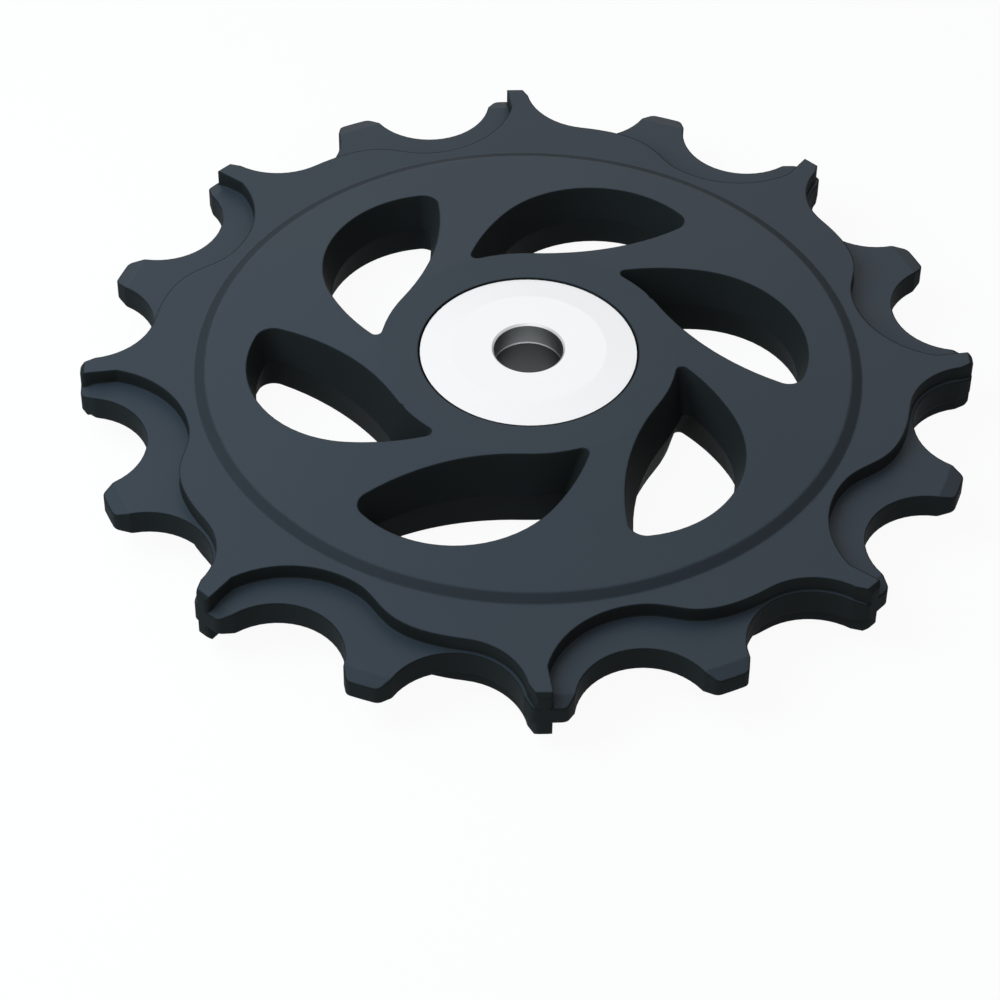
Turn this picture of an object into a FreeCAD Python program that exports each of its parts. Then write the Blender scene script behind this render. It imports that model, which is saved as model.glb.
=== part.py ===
"""Jockey wheel: a sixteen-tooth derailleur pulley, moulded in one piece, on a sealed ball bearing.

Units are millimetres. +Z is the spin axis, and the origin is the middle of the bore. The wheel lies flat,
on the face of its lower hub cover. Both faces are alike, so every layer is symmetric about z = 0.
"""
import FreeCAD, Part
import math
import os

# Chain and teeth
CHAIN_PITCH = 12.7
TOOTH_COUNT = 16
ROLLER_DIAMETER = 7.75
SEAT_CLEARANCE = 0.825
TIP_RADIUS = 32.2
TIP_WIDTH = 2.3
TIP_CORNER_RADIUS = 0.6
FLANK_HEIGHT = 0.95
FIRST_WIDE_TOOTH_ANGLE = -87.15

# Thickness of the layers, over both faces
NARROW_THICKNESS = 1.9
WIDE_THICKNESS = 4.1
RIM_THICKNESS = 4.8
HUB_RING_THICKNESS = 6.5

# Raised disc between the hub ring and the teeth
DISC_RADIUS = 23.2
STEP_WIDTH = 0.85
STEP_EDGE_RADIUS = 0.4
HUB_RING_RADIUS = 10.9
HUB_RING_BLEND_RADIUS = 10.0

# Bevels at the tooth tips, as their length from the tip and their fall there
NARROW_BEVEL_LENGTH = 1.1
NARROW_BEVEL_FALL = 0.3
WIDE_BEVEL_LENGTH = 0.3
WIDE_BEVEL_FALL = 0.3

# Edge of the wide layer, by angle after a wide tooth's centre line
WEDGE_LEADING_WIDTH = 0.25
WEDGE_TRAILING_WIDTH = 0.85
WEDGE_CORNER_RADIUS = 0.35
SCALLOP_RADIUS = 7.25
SCALLOP_CENTRE_RADIUS = 32.2
SCALLOP_CENTRE_ANGLE = 12.5
SCALLOP_START_DEPTH = 2.6
SCALLOP_END_ANGLE = 15.0
SHOULDER_RADIUS = 26.6
SHOULDER_ANGLE = 21.5
LEDGE_WIDTH = 0.3

# Windows, as the tangent arcs of one outline: back and belly on its outer side, inner and hub on its inner
WINDOW_COUNT = 6
WINDOW_DRAFT = 0.75
WINDOW_BELLY_X = 11.93
WINDOW_BELLY_Y = 1.11
WINDOW_BELLY_RADIUS = 8.42
WINDOW_BACK_RADIUS = 16.1
WINDOW_BACK_ANGLE = 84.6
WINDOW_END_RADIUS = 1.36
WINDOW_END_ANGLE = -20.3
WINDOW_INNER_RADIUS = 17.7
WINDOW_HUB_RADIUS = 10.74
WINDOW_TIP_RADIUS = 0.45

# Ball bearing
BEARING_OUTER_DIAMETER = 13.0
BEARING_BORE = 6.0
BEARING_WIDTH = 5.0
BALL_DIAMETER = 1.984
BALL_COUNT = 8
BALL_CLEARANCE = 0.03
GROOVE_RADIUS = 1.04
LAND_DEPTH = 0.42
RACE_CHAMFER = 0.2
CAGE_WIDTH = 0.86
CAGE_BASE_THICKNESS = 0.45
CAGE_PRONG_HEIGHT = 0.45
CAGE_POCKET_CLEARANCE = 0.05
SEAL_THICKNESS = 0.4
SEAL_INSET = 0.2
SEAL_SEAT_DEPTH = 0.4
SEAL_LIP_CLEARANCE = 0.06

# Hub covers and the sleeve between them
AXLE_BORE = 5.0
HUB_WIDTH = 7.0
COVER_DIAMETER = 15.6
COVER_FLAT_DIAMETER = 11.2
COVER_RIM_FALL = 0.3
COVER_RIM_THICKNESS = 0.45
COVER_GAP = 0.12
COVER_FLOOR_GAP = 0.2
COVER_LAND_DIAMETER = 7.8
COVER_DEPTH_IN_BORE = 1.8
SPIGOT_CLEARANCE = 0.02
BORE_CHAMFER = 0.15

# Values that follow from the sizes above
PITCH_RADIUS = CHAIN_PITCH / 2 / math.sin(math.pi / TOOTH_COUNT)
TOOTH_STEP = 360.0 / TOOTH_COUNT
SEAT_RADIUS = ROLLER_DIAMETER / 2 + SEAT_CLEARANCE
FLANK_RADIUS = TIP_RADIUS - FLANK_HEIGHT
SCALLOP_START_RADIUS = TIP_RADIUS - SCALLOP_START_DEPTH
BALL_RADIUS = BALL_DIAMETER / 2
BALL_CIRCLE_RADIUS = (BEARING_OUTER_DIAMETER + BEARING_BORE) / 4
RACEWAY_REACH = BALL_RADIUS + BALL_CLEARANCE
INNER_LAND_RADIUS = BALL_CIRCLE_RADIUS - RACEWAY_REACH + LAND_DEPTH
OUTER_LAND_RADIUS = BALL_CIRCLE_RADIUS + RACEWAY_REACH - LAND_DEPTH
SEAL_SEAT_RADIUS = OUTER_LAND_RADIUS + SEAL_SEAT_DEPTH
COVER_RIM_TOP = HUB_WIDTH / 2 - COVER_RIM_FALL
COVER_UNDERSIDE = COVER_RIM_TOP - COVER_RIM_THICKNESS
COVER_SEAT_FLOOR = COVER_UNDERSIDE - COVER_FLOOR_GAP

Z_AXIS = FreeCAD.Vector(0, 0, 1)
ORIGIN = FreeCAD.Vector(0, 0, 0)


def corner_angle(beside, other, opposite):
    """The angle, in degrees, between two sides of a triangle, from its three sides."""
    cosine = (beside ** 2 + other ** 2 - opposite ** 2) / (2 * beside * other)
    return math.degrees(math.acos(cosine))


SEAT_END_ANGLE = corner_angle(PITCH_RADIUS, SEAT_RADIUS, FLANK_RADIUS)


def polar(radius, degrees):
    """A point at a radius and angle about the spin axis."""
    angle = math.radians(degrees)
    return FreeCAD.Vector(radius * math.cos(angle), radius * math.sin(angle), 0)


def around(centre_radius, centre_degrees, radius, degrees):
    """A point on a circle about a point of the wheel, at an angle from the line to the axis."""
    centre = polar(centre_radius, centre_degrees)
    return centre + polar(radius, centre_degrees + 180.0 + degrees)


def line(start, end):
    """A straight edge."""
    return Part.LineSegment(start, end).toShape()


def arc(start, middle, end):
    """A round edge through three points."""
    return Part.Arc(start, middle, end).toShape()


def arc_about(centre, start, end):
    """A round edge about a centre, the short way from one point to another."""
    way = (start - centre) + (end - centre)
    return arc(start, centre + way.normalize() * start.distanceToPoint(centre), end)


def towards(centre, point, distance):
    """The point at a distance from a centre, in the direction of another point."""
    return centre + (point - centre).normalize() * distance


def revolve(points):
    """A turned solid from the corners of its half section, each a radius and a height."""
    corners = [FreeCAD.Vector(radius, 0, z) for radius, z in points]
    section = Part.Face(Part.makePolygon(corners + corners[:1]))
    return section.revolve(ORIGIN, Z_AXIS, 360)


def layer(edges, thickness):
    """A plate of the given outline, with its middle at z = 0."""
    face = Part.Face(Part.Wire(edges))
    plate = face.extrude(Z_AXIS * thickness)
    plate.translate(Z_AXIS * (-thickness / 2))
    return plate


def both_faces(cutter):
    """A cutter for the upper face together with its mirror image for the lower face."""
    return [cutter, cutter.mirror(ORIGIN, Z_AXIS)]


def tip_bevel(length, half_thickness, fall):
    """The ring that a sloping tip bevel takes off, above the slope, carried on to twice its length."""
    start = TIP_RADIUS - length
    end = TIP_RADIUS + length
    top = half_thickness + fall
    return revolve([(start, half_thickness), (end, half_thickness - 2 * fall), (end, top), (start, top)])


def narrow_layer():
    """The thin plate with all the teeth: a round seat for every roller and a flat tip between two seats."""
    tip_angle = math.degrees(TIP_WIDTH / 2 / TIP_RADIUS)
    edges = []
    for tooth in range(TOOTH_COUNT):
        centre = FIRST_WIDE_TOOTH_ANGLE + tooth * TOOTH_STEP
        seat = centre + TOOTH_STEP / 2
        leading_tip = polar(TIP_RADIUS, centre - tip_angle)
        trailing_tip = polar(TIP_RADIUS, centre + tip_angle)
        next_tip = polar(TIP_RADIUS, centre + TOOTH_STEP - tip_angle)
        seat_start = around(PITCH_RADIUS, seat, SEAT_RADIUS, SEAT_END_ANGLE)
        seat_end = around(PITCH_RADIUS, seat, SEAT_RADIUS, -SEAT_END_ANGLE)
        edges.append(arc(leading_tip, polar(TIP_RADIUS, centre), trailing_tip))
        edges.append(line(trailing_tip, seat_start))
        edges.append(arc(seat_start, around(PITCH_RADIUS, seat, SEAT_RADIUS, 0), seat_end))
        edges.append(line(seat_end, next_tip))
    plate = round_tips(layer(edges, NARROW_THICKNESS), TIP_CORNER_RADIUS)
    bevel = tip_bevel(NARROW_BEVEL_LENGTH, NARROW_THICKNESS / 2, NARROW_BEVEL_FALL)
    return plate.cut(both_faces(bevel))


def round_tips(plate, radius):
    """A toothed plate with the upright edges at its tips rounded."""
    corners = [edge for edge in plate.Edges if is_upright_at(edge, TIP_RADIUS)]
    return plate.makeFillet(radius, corners)


def is_upright_at(edge, radius):
    """Whether an edge stands parallel to the axis at the given radius."""
    start = edge.Vertexes[0].Point
    end = edge.Vertexes[-1].Point
    upright = math.hypot(end.x - start.x, end.y - start.y) < 1e-6
    return upright and abs(math.hypot(start.x, start.y) - radius) < 1e-6


def wide_layer():
    """The thick plate: a wedge on every second tooth, a deep scallop after it and a ledge before it."""
    step = 2 * TOOTH_STEP
    leading = math.degrees(WEDGE_LEADING_WIDTH / TIP_RADIUS)
    trailing = math.degrees(WEDGE_TRAILING_WIDTH / TIP_RADIUS)
    ledge_radius = SEAT_RADIUS + LEDGE_WIDTH
    edges = []
    for tooth in range(TOOTH_COUNT // 2):
        centre = FIRST_WIDE_TOOTH_ANGLE + tooth * step
        seat = centre + 1.5 * TOOTH_STEP
        tip = polar(TIP_RADIUS, centre + leading)
        tip_before = polar(TIP_RADIUS, centre - trailing)
        next_tip = polar(TIP_RADIUS, centre + step - trailing)
        scallop_start = scallop_point_at_radius(centre, SCALLOP_START_RADIUS)
        scallop_bottom = around(SCALLOP_CENTRE_RADIUS, centre + SCALLOP_CENTRE_ANGLE, SCALLOP_RADIUS, 0)
        scallop_end, scallop_way = scallop_point_at_angle(centre, SCALLOP_END_ANGLE)
        ledge_start = around(PITCH_RADIUS, seat, ledge_radius, 0)
        ledge_middle = around(PITCH_RADIUS, seat, ledge_radius, -SEAT_END_ANGLE / 2)
        ledge_end = around(PITCH_RADIUS, seat, ledge_radius, -SEAT_END_ANGLE)
        shoulder = Part.BSplineCurve()
        shoulder.interpolate(
            [scallop_end, polar(SHOULDER_RADIUS, centre + SHOULDER_ANGLE), ledge_start],
            InitialTangent=scallop_way, FinalTangent=polar(1.0, seat + 90.0),
        )
        edges.append(arc(tip_before, polar(TIP_RADIUS, centre), tip))
        edges.append(line(tip, scallop_start))
        edges.append(arc(scallop_start, scallop_bottom, scallop_end))
        edges.append(shoulder.toShape())
        edges.append(arc(ledge_start, ledge_middle, ledge_end))
        edges.append(line(ledge_end, next_tip))
    plate = round_tips(layer(edges, WIDE_THICKNESS), WEDGE_CORNER_RADIUS)
    bevel = tip_bevel(WIDE_BEVEL_LENGTH, WIDE_THICKNESS / 2, WIDE_BEVEL_FALL)
    return plate.cut(both_faces(bevel))


def scallop_point_at_radius(centre, radius):
    """Where the scallop after a wide tooth reaches a radius, on the side of that tooth."""
    turn = corner_angle(SCALLOP_CENTRE_RADIUS, radius, SCALLOP_RADIUS)
    return polar(radius, centre + SCALLOP_CENTRE_ANGLE - turn)


def scallop_point_at_angle(centre, degrees):
    """Where the scallop after a wide tooth reaches an angle, with its direction there."""
    turn = math.radians(degrees - SCALLOP_CENTRE_ANGLE)
    side = SCALLOP_CENTRE_RADIUS * math.sin(turn)
    radius = SCALLOP_CENTRE_RADIUS * math.cos(turn) - math.sqrt(SCALLOP_RADIUS ** 2 - side ** 2)
    point = polar(radius, centre + degrees)
    out = point - polar(SCALLOP_CENTRE_RADIUS, centre + SCALLOP_CENTRE_ANGLE)
    return point, out.cross(Z_AXIS).normalize()


def raised_disc():
    """The turned middle of the wheel: hub ring, faces that thin outwards, rounded step to the teeth."""
    half = disc_half_section().revolve(ORIGIN, Z_AXIS, 360)
    disc = half.fuse(half.mirror(ORIGIN, Z_AXIS)).removeSplitter()
    rims = [edge for edge in disc.Edges if is_circle_of(edge, DISC_RADIUS)]
    return disc.makeFillet(STEP_EDGE_RADIUS, rims)


def disc_half_section():
    """The section of the disc above z = 0, with a wide round blend where the hub ring meets the slope."""
    inner = BEARING_OUTER_DIAMETER / 2
    hub_height = HUB_RING_THICKNESS / 2
    slope = math.atan2(hub_height - RIM_THICKNESS / 2, DISC_RADIUS - HUB_RING_RADIUS)
    blend_start = HUB_RING_RADIUS - HUB_RING_BLEND_RADIUS * math.tan(slope / 2)
    blend_centre = FreeCAD.Vector(blend_start, 0, hub_height - HUB_RING_BLEND_RADIUS)
    blend = [
        blend_centre + FreeCAD.Vector(math.sin(turn), 0, math.cos(turn)) * HUB_RING_BLEND_RADIUS
        for turn in (0, slope / 2, slope)
    ]
    corners = [
        FreeCAD.Vector(DISC_RADIUS, 0, RIM_THICKNESS / 2),
        FreeCAD.Vector(DISC_RADIUS + STEP_WIDTH, 0, WIDE_THICKNESS / 2),
        FreeCAD.Vector(DISC_RADIUS + STEP_WIDTH, 0, 0),
        FreeCAD.Vector(inner, 0, 0),
        FreeCAD.Vector(inner, 0, hub_height),
    ]
    outline = Part.makePolygon([blend[2]] + corners + [blend[0]])
    return Part.Face(Part.Wire(outline.Edges + [arc(*blend)]))


def is_circle_of(edge, radius):
    """Whether an edge is a circle of the given radius."""
    return isinstance(edge.Curve, Part.Circle) and abs(edge.Curve.Radius - radius) < 1e-6


def meeting_point(axis_radius, centre, radius):
    """The point at one radius about the axis and at another about a centre, counter-clockwise of it."""
    turn = corner_angle(axis_radius, centre.Length, radius)
    return polar(axis_radius, math.degrees(math.atan2(centre.y, centre.x)) + turn)


def window_wire(inset, z):
    """One window's outline at a height, drawn in by the draft: six arcs, each tangent to the next."""
    belly = FreeCAD.Vector(WINDOW_BELLY_X, WINDOW_BELLY_Y, 0)
    back = belly - polar(WINDOW_BACK_RADIUS - WINDOW_BELLY_RADIUS, WINDOW_BACK_ANGLE)
    end = belly + polar(WINDOW_BELLY_RADIUS - WINDOW_END_RADIUS, WINDOW_END_ANGLE)
    inner = meeting_point(
        WINDOW_HUB_RADIUS + WINDOW_INNER_RADIUS, end, WINDOW_INNER_RADIUS - WINDOW_END_RADIUS
    )
    belly_radius = WINDOW_BELLY_RADIUS - inset
    back_radius = WINDOW_BACK_RADIUS - inset
    hub_radius = WINDOW_HUB_RADIUS + inset
    tip = meeting_point(hub_radius + WINDOW_TIP_RADIUS, back, back_radius - WINDOW_TIP_RADIUS)
    back_start = towards(back, tip, back_radius)
    belly_start = belly + polar(belly_radius, WINDOW_BACK_ANGLE)
    end_start = belly + polar(belly_radius, WINDOW_END_ANGLE)
    inner_start = towards(inner, end, WINDOW_INNER_RADIUS - inset)
    hub_start = towards(ORIGIN, inner, hub_radius)
    tip_start = towards(ORIGIN, tip, hub_radius)
    wire = Part.Wire([
        arc_about(back, back_start, belly_start), arc_about(belly, belly_start, end_start),
        arc_about(end, end_start, inner_start), arc_about(inner, inner_start, hub_start),
        arc_about(ORIGIN, hub_start, tip_start), arc_about(tip, tip_start, back_start),
    ])
    wire.translate(Z_AXIS * z)
    return wire


def windows():
    """Cutters for the windows: each narrows from both faces to a parting line at the middle."""
    face_height = HUB_RING_THICKNESS / 2
    upper = Part.makeLoft([window_wire(WINDOW_DRAFT, 0), window_wire(0, face_height)], True, True)
    lower = upper.mirror(ORIGIN, Z_AXIS)
    cutters = []
    for index in range(WINDOW_COUNT):
        for half in (upper, lower):
            turned = half.copy()
            turned.rotate(ORIGIN, Z_AXIS, index * 360.0 / WINDOW_COUNT)
            cutters.append(turned)
    return cutters


def cover_seat():
    """The recess for the upper hub cover, and its mirror image."""
    radius = COVER_DIAMETER / 2 + COVER_GAP
    depth = HUB_RING_THICKNESS / 2 - COVER_SEAT_FLOOR
    return both_faces(Part.makeCylinder(radius, depth, Z_AXIS * COVER_SEAT_FLOOR))


def wheel_body():
    """The moulded wheel: disc, wide layer and narrow layer in one piece, with windows and bearing seat."""
    body = raised_disc().fuse([wide_layer(), narrow_layer()])
    seat_radius = BEARING_OUTER_DIAMETER / 2
    seat = Part.makeCylinder(seat_radius, HUB_RING_THICKNESS, Z_AXIS * (-HUB_RING_THICKNESS / 2))
    return body.cut(windows() + cover_seat() + [seat]).removeSplitter()


def ball_groove(bottom_radius, side):
    """A raceway: a round groove whose bottom is at the given radius, on the inner or outer side."""
    return Part.makeTorus(bottom_radius - side * GROOVE_RADIUS, GROOVE_RADIUS)


def bearing_outer_race():
    """The outer race: raceway, a seat for a seal at each end and small outer chamfers."""
    half = BEARING_WIDTH / 2
    outer = BEARING_OUTER_DIAMETER / 2
    seal_floor = half - SEAL_INSET - SEAL_THICKNESS
    upper = [
        (OUTER_LAND_RADIUS, seal_floor), (SEAL_SEAT_RADIUS, seal_floor), (SEAL_SEAT_RADIUS, half),
        (outer - RACE_CHAMFER, half), (outer, half - RACE_CHAMFER),
    ]
    lower = [(radius, -z) for radius, z in reversed(upper)]
    return revolve(upper + lower).cut(ball_groove(BALL_CIRCLE_RADIUS + RACEWAY_REACH, 1))


def bearing_inner_race():
    """The inner race: raceway and small chamfers at its bore."""
    half = BEARING_WIDTH / 2
    bore = BEARING_BORE / 2
    upper = [(INNER_LAND_RADIUS, half), (bore + RACE_CHAMFER, half), (bore, half - RACE_CHAMFER)]
    lower = [(radius, -z) for radius, z in reversed(upper)]
    return revolve(upper + lower).cut(ball_groove(BALL_CIRCLE_RADIUS - RACEWAY_REACH, -1))


def ball_centre(index):
    """The centre of one ball."""
    return polar(BALL_CIRCLE_RADIUS, index * 360.0 / BALL_COUNT)


def ball(index):
    """One ball in its place."""
    return Part.makeSphere(BALL_RADIUS, ball_centre(index))


def bearing_cage():
    """The crown cage: a ring below the balls, with prongs between pockets bored from the axis outwards."""
    pocket_radius = BALL_RADIUS + CAGE_POCKET_CLEARANCE
    bottom = -pocket_radius - CAGE_BASE_THICKNESS
    inner = BALL_CIRCLE_RADIUS - CAGE_WIDTH / 2
    outer = BALL_CIRCLE_RADIUS + CAGE_WIDTH / 2
    top = CAGE_PRONG_HEIGHT
    ring = revolve([(inner, bottom), (outer, bottom), (outer, top), (inner, top)])
    reach = outer + pocket_radius
    return ring.cut([Part.makeCylinder(pocket_radius, reach, ORIGIN, ball_centre(index))
                     for index in range(BALL_COUNT)])


def bearing_seal():
    """The upper seal: a rubber washer held in the outer race, with a lip that clears the inner race."""
    top = BEARING_WIDTH / 2 - SEAL_INSET
    bottom = top - SEAL_THICKNESS
    lip = INNER_LAND_RADIUS + SEAL_LIP_CLEARANCE
    return revolve([(lip, bottom), (SEAL_SEAT_RADIUS, bottom), (SEAL_SEAT_RADIUS, top), (lip, top)])


def hub_cover():
    """The upper hub cover: a coned flange, a land on the inner race and a spigot in the race's bore."""
    top = HUB_WIDTH / 2
    bore = AXLE_BORE / 2
    land = COVER_LAND_DIAMETER / 2
    spigot = BEARING_BORE / 2 - SPIGOT_CLEARANCE
    race_face = BEARING_WIDTH / 2
    rim = COVER_DIAMETER / 2
    return revolve([
        (bore, top - COVER_DEPTH_IN_BORE), (spigot, top - COVER_DEPTH_IN_BORE), (spigot, race_face),
        (land, race_face), (land, COVER_UNDERSIDE), (rim, COVER_UNDERSIDE), (rim, COVER_RIM_TOP),
        (COVER_FLAT_DIAMETER / 2, top), (bore + BORE_CHAMFER, top), (bore, top - BORE_CHAMFER),
    ])


def centre_sleeve():
    """The sleeve between the two spigots, which carries the clamping load through the bore."""
    reach = HUB_WIDTH / 2 - COVER_DEPTH_IN_BORE
    outer = BEARING_BORE / 2 - SPIGOT_CLEARANCE
    bore = AXLE_BORE / 2
    return revolve([(bore, -reach), (outer, -reach), (outer, reach), (bore, reach)])


def turned_over(shape):
    """The same piece on the lower side, turned over about the X axis."""
    lower = shape.copy()
    lower.rotate(ORIGIN, FreeCAD.Vector(1, 0, 0), 180)
    return lower


def pieces():
    """Every piece of the wheel, by name."""
    parts = {
        "wheel_body": wheel_body(),
        "bearing_outer_race": bearing_outer_race(),
        "bearing_inner_race": bearing_inner_race(),
        "bearing_cage": bearing_cage(),
        "bearing_seal_upper": bearing_seal(),
        "bearing_seal_lower": turned_over(bearing_seal()),
        "hub_cover_upper": hub_cover(),
        "hub_cover_lower": turned_over(hub_cover()),
        "centre_sleeve": centre_sleeve(),
    }
    for index in range(BALL_COUNT):
        parts[f"bearing_ball_{index + 1}"] = ball(index)
    return parts


os.makedirs("parts", exist_ok=True)
for name, shape in pieces().items():
    solid = shape.Solids[0]
    solid.exportStep(f"parts/{name}.step")
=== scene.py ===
"""Looks for the jockey wheel: materials, a pale studio floor, lights and the camera.

Lengths are metres. The wheel lies flat at the origin, with +Z along its spin axis.
"""
import math

import bpy
from mathutils import Matrix, Vector


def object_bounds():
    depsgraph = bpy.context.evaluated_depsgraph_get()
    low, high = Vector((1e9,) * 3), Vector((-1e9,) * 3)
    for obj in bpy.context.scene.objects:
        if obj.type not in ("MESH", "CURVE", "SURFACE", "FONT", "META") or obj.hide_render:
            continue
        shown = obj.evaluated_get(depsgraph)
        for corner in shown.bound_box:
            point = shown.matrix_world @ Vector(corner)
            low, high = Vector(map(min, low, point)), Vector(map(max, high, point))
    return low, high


MILLIMETRE = 0.001
WHITE = (1.0, 1.0, 1.0)

# Camera: its tilt and lens, and where it stands, by its own axes, from a point above the wheel's middle
CAMERA_ELEVATION = 44.68
CAMERA_ROLL = 0.82
CAMERA_LENS = 119.92
CAMERA_SENSOR = 36.0
CAMERA_CLIP_START = 10.0 * MILLIMETRE
CAMERA_RIGHT = -2.049 * MILLIMETRE
CAMERA_UP = -11.281 * MILLIMETRE
CAMERA_BACK = 238.6 * MILLIMETRE
AIM_HEIGHT = 4.0 * MILLIMETRE

# Floor, just below the wheel so that the two never share a plane
FLOOR_SIZE = 4.0
FLOOR_GAP = 0.02 * MILLIMETRE
FLOOR_COLOUR = (0.92, 0.92, 0.92)
FLOOR_GLOW = 0.94

# World: its light on matte surfaces, what the camera sees, and what reflections see.
# Reflections see it bright around one direction, and dim past the angle with the dim cosine.
WORLD_LEVEL = 0.27
BACKGROUND_LEVEL = 0.98
MIRROR_AZIMUTH = -17.0
MIRROR_ELEVATION = 50.0
MIRROR_DIM = 0.55
MIRROR_DIM_COSINE = 0.55
MIRROR_BRIGHT = 1.08
MIRROR_BRIGHT_COSINE = 0.95

# Rounded edges, in the shading only
EDGE_SAMPLES = 8
BODY_EDGE_RADIUS = 0.22 * MILLIMETRE
COVER_EDGE_RADIUS = 0.06 * MILLIMETRE

# Body: walls, rounded edges and the sloped step are painted in shade, darker and duller, by the upward
# part of the surface direction
WALL_UPWARD = 0.88
FACE_UPWARD = 0.985
FACE_COLOUR = (0.0290, 0.0385, 0.0500)
# Painted shade: the darker colour given to walls, rounded edges and the sloped step
WALL_PAINTED_SHADE_COLOUR = (0.0148, 0.0178, 0.0184)
FACE_SHINE = 0.27
WALL_SHINE = 0.04
SHINE_TINT = (0.9, 0.96, 1.0)
FACE_ROUGHNESS = 0.45
WALL_ROUGHNESS = 0.75
MOTTLE_SCALE = 160.0
MOTTLE_DETAIL = 3.0
MOTTLE_DEPTH = 0.04
GRAIN_SCALE = 6000.0
GRAIN_STRENGTH = 0.3
GRAIN_DEPTH = 0.02 * MILLIMETRE

# Hub covers: the bore is painted in shade inside this radius, down to a painted highlight, a bright
# line at its inner end
COVER_COLOUR = (0.925, 0.938, 0.955)
COVER_ROUGHNESS = 0.42
BORE_PAINTED_SHADE_COLOUR = (0.37, 0.39, 0.395)
BORE_RADIUS = 2.51 * MILLIMETRE
BORE_HIGHLIGHT_HEIGHT = 1.84 * MILLIMETRE
TURNING_SCALE = 1800.0
TURNING_WANDER = 0.6
TURNING_STRENGTH = 0.06
TURNING_DEPTH = 0.01 * MILLIMETRE

# Sleeve and bearing; the sleeve's dark colour is painted shade, deep in the bore
RACE_COLOUR = (0.58, 0.59, 0.61)
RACE_ROUGHNESS = 0.25
BALL_COLOUR = (0.62, 0.63, 0.65)
BALL_ROUGHNESS = 0.1
SLEEVE_PAINTED_SHADE_COLOUR = (0.085, 0.089, 0.092)
SLEEVE_ROUGHNESS = 0.4
STEEL_GRAIN_SCALE = 2500.0
STEEL_GRAIN_STRENGTH = 0.05
STEEL_GRAIN_DEPTH = 0.01 * MILLIMETRE
SEAL_COLOUR = (0.012, 0.012, 0.013)
SEAL_ROUGHNESS = 0.7
SEAL_GRAIN_SCALE = 4000.0
SEAL_GRAIN_STRENGTH = 0.1
SEAL_GRAIN_DEPTH = 0.02 * MILLIMETRE
CAGE_COLOUR = (0.70, 0.65, 0.52)
CAGE_ROUGHNESS = 0.5
CAGE_SCATTER = 0.1
CAGE_SCATTER_RADIUS = (0.0006, 0.0005, 0.0004)
CAGE_GRAIN_SCALE = 5000.0
CAGE_GRAIN_STRENGTH = 0.05
CAGE_GRAIN_DEPTH = 0.01 * MILLIMETRE


def direction(azimuth, elevation):
    """A unit vector, by its azimuth clockwise from straight behind the wheel and its elevation."""
    a = math.radians(azimuth)
    e = math.radians(elevation)
    return Vector((math.sin(a) * math.cos(e), math.cos(a) * math.cos(e), math.sin(e)))


def new_material(name, colour, roughness, metallic=0.0):
    """A principled material with its plain values set on the shader, its node tree and its shader."""
    material = bpy.data.materials.new(name)
    material.use_nodes = True
    shader = material.node_tree.nodes["Principled BSDF"]
    shader.inputs["Base Color"].default_value = (*colour, 1.0)
    shader.inputs["Roughness"].default_value = roughness
    shader.inputs["Metallic"].default_value = metallic
    return material, material.node_tree, shader


def add_noise(tree, scale, detail=2.0):
    """A noise texture in the object's own coordinates."""
    place = tree.nodes.new("ShaderNodeTexCoord")
    noise = tree.nodes.new("ShaderNodeTexNoise")
    noise.inputs["Scale"].default_value = scale
    noise.inputs["Detail"].default_value = detail
    tree.links.new(place.outputs["Object"], noise.inputs["Vector"])
    return noise.outputs["Fac"]


def add_math(tree, operation, first, second=None):
    """A maths node on one output, with a second output or a plain number."""
    node = tree.nodes.new("ShaderNodeMath")
    node.operation = operation
    tree.links.new(first, node.inputs[0])
    if isinstance(second, (int, float)):
        node.inputs[1].default_value = second
    elif second is not None:
        tree.links.new(second, node.inputs[1])
    return node.outputs["Value"]


def spread(tree, value, low, high, start=0.0, end=1.0):
    """Maps a value from start to end onto low to high."""
    ramp = tree.nodes.new("ShaderNodeMapRange")
    ramp.inputs["From Min"].default_value = start
    ramp.inputs["From Max"].default_value = end
    ramp.inputs["To Min"].default_value = low
    ramp.inputs["To Max"].default_value = high
    tree.links.new(value, ramp.inputs["Value"])
    return ramp.outputs["Result"]


def blend(tree, share, low_colour, high_colour):
    """A colour between two colours, by a 0 to 1 share."""
    mix = tree.nodes.new("ShaderNodeMix")
    mix.data_type = "RGBA"
    tree.links.new(share, mix.inputs["Factor"])
    mix.inputs["A"].default_value = (*low_colour, 1.0)
    mix.inputs["B"].default_value = (*high_colour, 1.0)
    return mix.outputs["Result"]


def round_edges(tree, radius):
    """The direction a surface faces, with its edges rounded by a small radius."""
    edge = tree.nodes.new("ShaderNodeBevel")
    edge.samples = EDGE_SAMPLES
    edge.inputs["Radius"].default_value = radius
    return edge.outputs["Normal"]


def add_surface(tree, shader, height, strength, depth, edge=None):
    """A bump from a height output, on rounded edges where they are given."""
    bump = tree.nodes.new("ShaderNodeBump")
    bump.inputs["Strength"].default_value = strength
    bump.inputs["Distance"].default_value = depth
    tree.links.new(height, bump.inputs["Height"])
    if edge is not None:
        tree.links.new(edge, bump.inputs["Normal"])
    tree.links.new(bump.outputs["Normal"], shader.inputs["Normal"])


def face_or_painted_shade(tree, edge):
    """0 on upright walls, which are painted in shade, and 1 on the wheel's faces, with a soft change
    along rounded edges.
    """
    parts = tree.nodes.new("ShaderNodeSeparateXYZ")
    tree.links.new(edge, parts.inputs["Vector"])
    upward = add_math(tree, "ABSOLUTE", parts.outputs["Z"])
    return spread(tree, upward, 0.0, 1.0, WALL_UPWARD, FACE_UPWARD)


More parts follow.
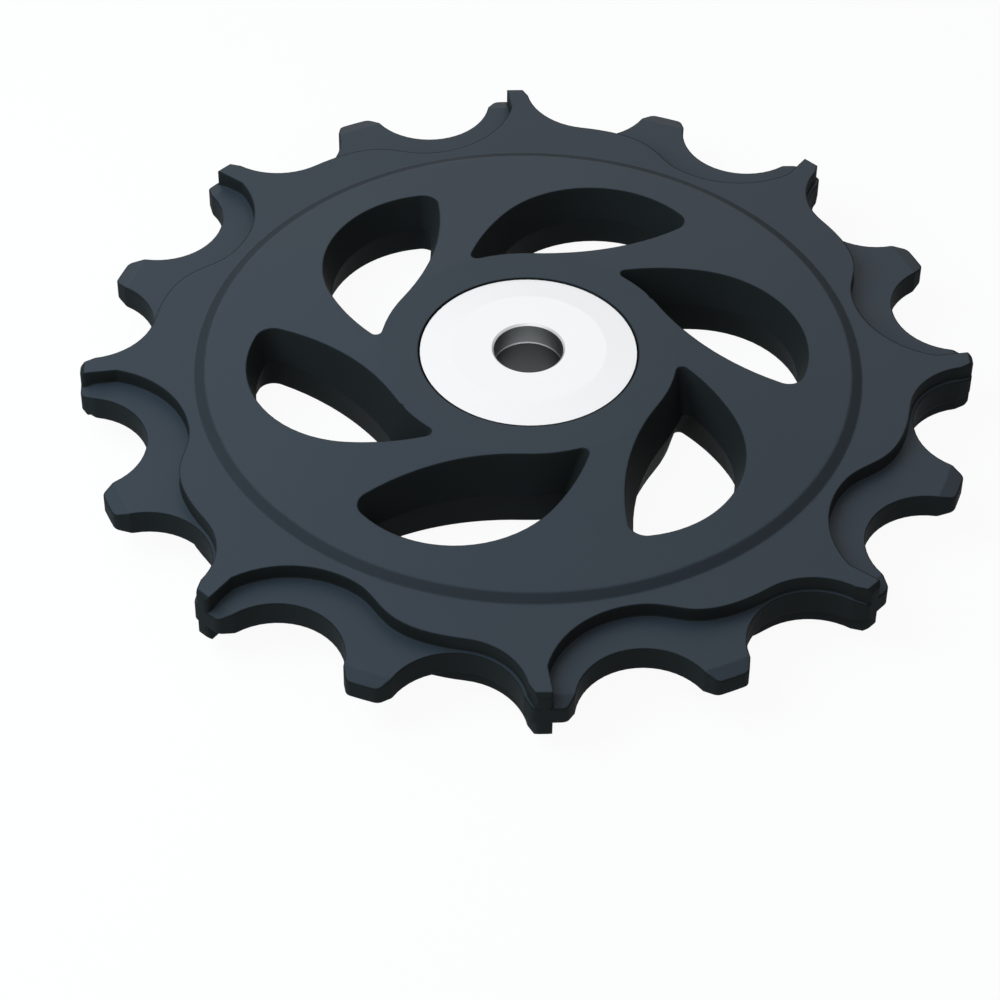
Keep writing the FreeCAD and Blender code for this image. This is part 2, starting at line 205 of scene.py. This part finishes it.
def moulded_plastic():
    """Dark blue-grey moulded plastic: satin faces with a fine grain; walls, edges and step painted in
    shade, and duller.
    """
    material, tree, shader = new_material("moulded_plastic", FACE_COLOUR, FACE_ROUGHNESS)
    shader.inputs["Specular IOR Level"].default_value = FACE_SHINE
    shader.inputs["Specular Tint"].default_value = (*SHINE_TINT, 1.0)
    edge = round_edges(tree, BODY_EDGE_RADIUS)
    face_or_shade = face_or_painted_shade(tree, edge)
    # Painted shade: walls, rounded edges and the step take the darker colour
    colour = blend(tree, face_or_shade, WALL_PAINTED_SHADE_COLOUR, FACE_COLOUR)
    tree.links.new(colour, shader.inputs["Base Color"])
    shine = spread(tree, face_or_shade, WALL_SHINE, FACE_SHINE)
    tree.links.new(shine, shader.inputs["Specular IOR Level"])
    mottle = spread(tree, add_noise(tree, MOTTLE_SCALE, MOTTLE_DETAIL), -MOTTLE_DEPTH, MOTTLE_DEPTH)
    finish = spread(tree, face_or_shade, WALL_ROUGHNESS, FACE_ROUGHNESS)
    tree.links.new(add_math(tree, "ADD", finish, mottle), shader.inputs["Roughness"])
    add_surface(tree, shader, add_noise(tree, GRAIN_SCALE), GRAIN_STRENGTH, GRAIN_DEPTH, edge)
    return material


def turned_aluminium():
    """Silver aluminium with faint turning marks, painted shade inside the bore but for a painted
    highlight at its inner end.
    """
    material, tree, shader = new_material("turned_aluminium", COVER_COLOUR, COVER_ROUGHNESS, 1.0)
    place = tree.nodes.new("ShaderNodeTexCoord")
    parts = tree.nodes.new("ShaderNodeSeparateXYZ")
    tree.links.new(place.outputs["Object"], parts.inputs["Vector"])
    across = add_math(tree, "MULTIPLY", parts.outputs["X"], parts.outputs["X"])
    along = add_math(tree, "MULTIPLY", parts.outputs["Y"], parts.outputs["Y"])
    radius = add_math(tree, "SQRT", add_math(tree, "ADD", across, along))
    outside = add_math(tree, "GREATER_THAN", radius, BORE_RADIUS)
    height = add_math(tree, "ABSOLUTE", parts.outputs["Z"])
    joint_highlight = add_math(tree, "LESS_THAN", height, BORE_HIGHLIGHT_HEIGHT)
    no_painted_shade = add_math(tree, "MAXIMUM", outside, joint_highlight)
    # Painted shade inside the bore, and a painted highlight at its inner end
    colour = blend(tree, no_painted_shade, BORE_PAINTED_SHADE_COLOUR, COVER_COLOUR)
    tree.links.new(colour, shader.inputs["Base Color"])
    rings = tree.nodes.new("ShaderNodeTexWave")
    rings.wave_type = "RINGS"
    rings.rings_direction = "Z"
    rings.inputs["Scale"].default_value = TURNING_SCALE
    rings.inputs["Distortion"].default_value = TURNING_WANDER
    tree.links.new(place.outputs["Object"], rings.inputs["Vector"])
    edge = round_edges(tree, COVER_EDGE_RADIUS)
    add_surface(tree, shader, rings.outputs["Fac"], TURNING_STRENGTH, TURNING_DEPTH, edge)
    return material


def turned_steel(name, colour, roughness):
    """Turned or ground steel."""
    material, tree, shader = new_material(name, colour, roughness, 1.0)
    grain = add_noise(tree, STEEL_GRAIN_SCALE)
    add_surface(tree, shader, grain, STEEL_GRAIN_STRENGTH, STEEL_GRAIN_DEPTH)
    return material


def seal_rubber():
    """Black rubber."""
    material, tree, shader = new_material("seal_rubber", SEAL_COLOUR, SEAL_ROUGHNESS)
    grain = add_noise(tree, SEAL_GRAIN_SCALE)
    add_surface(tree, shader, grain, SEAL_GRAIN_STRENGTH, SEAL_GRAIN_DEPTH)
    return material


def cage_nylon():
    """Natural nylon."""
    material, tree, shader = new_material("cage_nylon", CAGE_COLOUR, CAGE_ROUGHNESS)
    shader.inputs["Subsurface Weight"].default_value = CAGE_SCATTER
    shader.inputs["Subsurface Radius"].default_value = CAGE_SCATTER_RADIUS
    grain = add_noise(tree, CAGE_GRAIN_SCALE)
    add_surface(tree, shader, grain, CAGE_GRAIN_STRENGTH, CAGE_GRAIN_DEPTH)
    return material


def dress(nodes):
    """Puts one material on every node, by the start of its name."""
    race_steel = turned_steel("race_steel", RACE_COLOUR, RACE_ROUGHNESS)
    by_prefix = {
        "wheel_body": moulded_plastic(),
        "hub_cover": turned_aluminium(),
        # The sleeve's steel is painted in shade, much darker than the races
        "centre_sleeve": turned_steel("sleeve_steel", SLEEVE_PAINTED_SHADE_COLOUR, SLEEVE_ROUGHNESS),
        "bearing_outer_race": race_steel,
        "bearing_inner_race": race_steel,
        "bearing_ball": turned_steel("ball_steel", BALL_COLOUR, BALL_ROUGHNESS),
        "bearing_cage": cage_nylon(),
        "bearing_seal": seal_rubber(),
    }
    for name, node in nodes.items():
        prefix = next(key for key in by_prefix if name.startswith(key))
        node.data.materials.clear()
        node.data.materials.append(by_prefix[prefix])


def sees_background(tree):
    """1 for a ray from the camera, a reflection or a refraction, 0 for light on a matte surface."""
    path = tree.nodes.new("ShaderNodeLightPath")
    mirrored = add_math(tree, "MAXIMUM", path.outputs["Is Camera Ray"], path.outputs["Is Glossy Ray"])
    return add_math(tree, "MAXIMUM", mirrored, path.outputs["Is Transmission Ray"])


def add_floor(height):
    """A plain white floor that glows towards the camera and keeps the wheel's shadow."""
    bpy.ops.mesh.primitive_plane_add(size=FLOOR_SIZE, location=(0, 0, height))
    floor = bpy.context.object
    floor.name = "floor"
    material = bpy.data.materials.new("floor_white")
    material.use_nodes = True
    tree = material.node_tree
    tree.nodes.clear()
    matte = tree.nodes.new("ShaderNodeBsdfDiffuse")
    matte.inputs["Color"].default_value = (*FLOOR_COLOUR, 1.0)
    glow = tree.nodes.new("ShaderNodeEmission")
    mix = tree.nodes.new("ShaderNodeMixShader")
    out = tree.nodes.new("ShaderNodeOutputMaterial")
    share = add_math(tree, "MULTIPLY", sees_background(tree), FLOOR_GLOW)
    tree.links.new(share, mix.inputs["Fac"])
    tree.links.new(matte.outputs["BSDF"], mix.inputs[1])
    tree.links.new(glow.outputs["Emission"], mix.inputs[2])
    tree.links.new(mix.outputs["Shader"], out.inputs["Surface"])
    floor.data.materials.append(material)


def set_world():
    """A soft grey studio. The camera sees it white, and reflections see one bright side of it."""
    world = bpy.data.worlds.new("studio")
    bpy.context.scene.world = world
    world.use_nodes = True
    tree = world.node_tree
    tree.nodes.clear()
    soft = tree.nodes.new("ShaderNodeBackground")
    soft.inputs["Strength"].default_value = WORLD_LEVEL
    seen = tree.nodes.new("ShaderNodeBackground")
    for node in (soft, seen):
        node.inputs["Color"].default_value = (*WHITE, 1.0)
    place = tree.nodes.new("ShaderNodeTexCoord")
    side = tree.nodes.new("ShaderNodeVectorMath")
    side.operation = "DOT_PRODUCT"
    side.inputs[1].default_value = direction(MIRROR_AZIMUTH, MIRROR_ELEVATION)
    tree.links.new(place.outputs["Generated"], side.inputs[0])
    mirrored = spread(tree, side.outputs["Value"], MIRROR_DIM, MIRROR_BRIGHT,
                      MIRROR_DIM_COSINE, MIRROR_BRIGHT_COSINE)
    path = tree.nodes.new("ShaderNodeLightPath")
    direct = add_math(tree, "MULTIPLY", path.outputs["Is Camera Ray"], BACKGROUND_LEVEL)
    tree.links.new(add_math(tree, "MAXIMUM", mirrored, direct), seen.inputs["Strength"])
    mix = tree.nodes.new("ShaderNodeMixShader")
    out = tree.nodes.new("ShaderNodeOutputWorld")
    tree.links.new(sees_background(tree), mix.inputs["Fac"])
    tree.links.new(soft.outputs["Background"], mix.inputs[1])
    tree.links.new(seen.outputs["Background"], mix.inputs[2])
    tree.links.new(mix.outputs["Shader"], out.inputs["Surface"])


def add_softbox(name, azimuth, elevation, distance, size, power, colour=WHITE):
    """A square softbox aimed at the wheel, with its power in watts."""
    data = bpy.data.lights.new(name, "AREA")
    data.size = size
    data.energy = power
    data.color = colour
    lamp = bpy.data.objects.new(name, data)
    bpy.context.scene.collection.objects.link(lamp)
    way = direction(azimuth, elevation)
    lamp.location = way * distance
    lamp.rotation_mode = "QUATERNION"
    lamp.rotation_quaternion = way.to_track_quat("Z", "Y")
    return lamp


def add_lights():
    """A near, bluish key light on the left, and a broad front one for the walls and edges.

    The key is kept out of reflections, where it would turn the covers plain white from some sides.
    """
    key = add_softbox("key", azimuth=-98.0, elevation=48.0, distance=0.13, size=0.12, power=0.16,
                      colour=(0.72, 0.90, 1.0))
    key.visible_glossy = False
    add_softbox("front", azimuth=195.0, elevation=42.0, distance=0.7, size=0.7, power=0.9)


def add_camera():
    """The camera, at the photograph's angle."""
    e = math.radians(CAMERA_ELEVATION)
    back = Vector((0.0, -math.cos(e), math.sin(e)))
    right = Vector((1.0, 0.0, 0.0))
    up = back.cross(right)
    turn = Matrix.Rotation(math.radians(CAMERA_ROLL), 3, back)
    right = turn @ right
    up = turn @ up
    data = bpy.data.cameras.new("camera")
    data.lens = CAMERA_LENS
    data.sensor_width = CAMERA_SENSOR
    data.clip_start = CAMERA_CLIP_START
    camera = bpy.data.objects.new("camera", data)
    bpy.context.scene.collection.objects.link(camera)
    aim = Vector((0.0, 0.0, AIM_HEIGHT))
    place = aim + right * CAMERA_RIGHT + up * CAMERA_UP + back * CAMERA_BACK
    axes = Matrix((right, up, back)).transposed().to_4x4()
    camera.matrix_world = Matrix.Translation(place) @ axes
    bpy.context.scene.camera = camera


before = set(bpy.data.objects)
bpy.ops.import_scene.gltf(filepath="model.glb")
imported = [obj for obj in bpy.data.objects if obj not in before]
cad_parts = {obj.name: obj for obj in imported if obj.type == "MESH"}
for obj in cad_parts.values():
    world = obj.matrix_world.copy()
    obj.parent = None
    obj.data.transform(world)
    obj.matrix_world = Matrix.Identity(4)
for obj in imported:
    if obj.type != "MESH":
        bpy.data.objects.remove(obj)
cad_low, cad_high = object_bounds()
dress(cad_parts)
add_floor(cad_low.z - FLOOR_GAP)
set_world()
add_lights()
add_camera()
bpy.context.scene.view_settings.view_transform = "Standard"
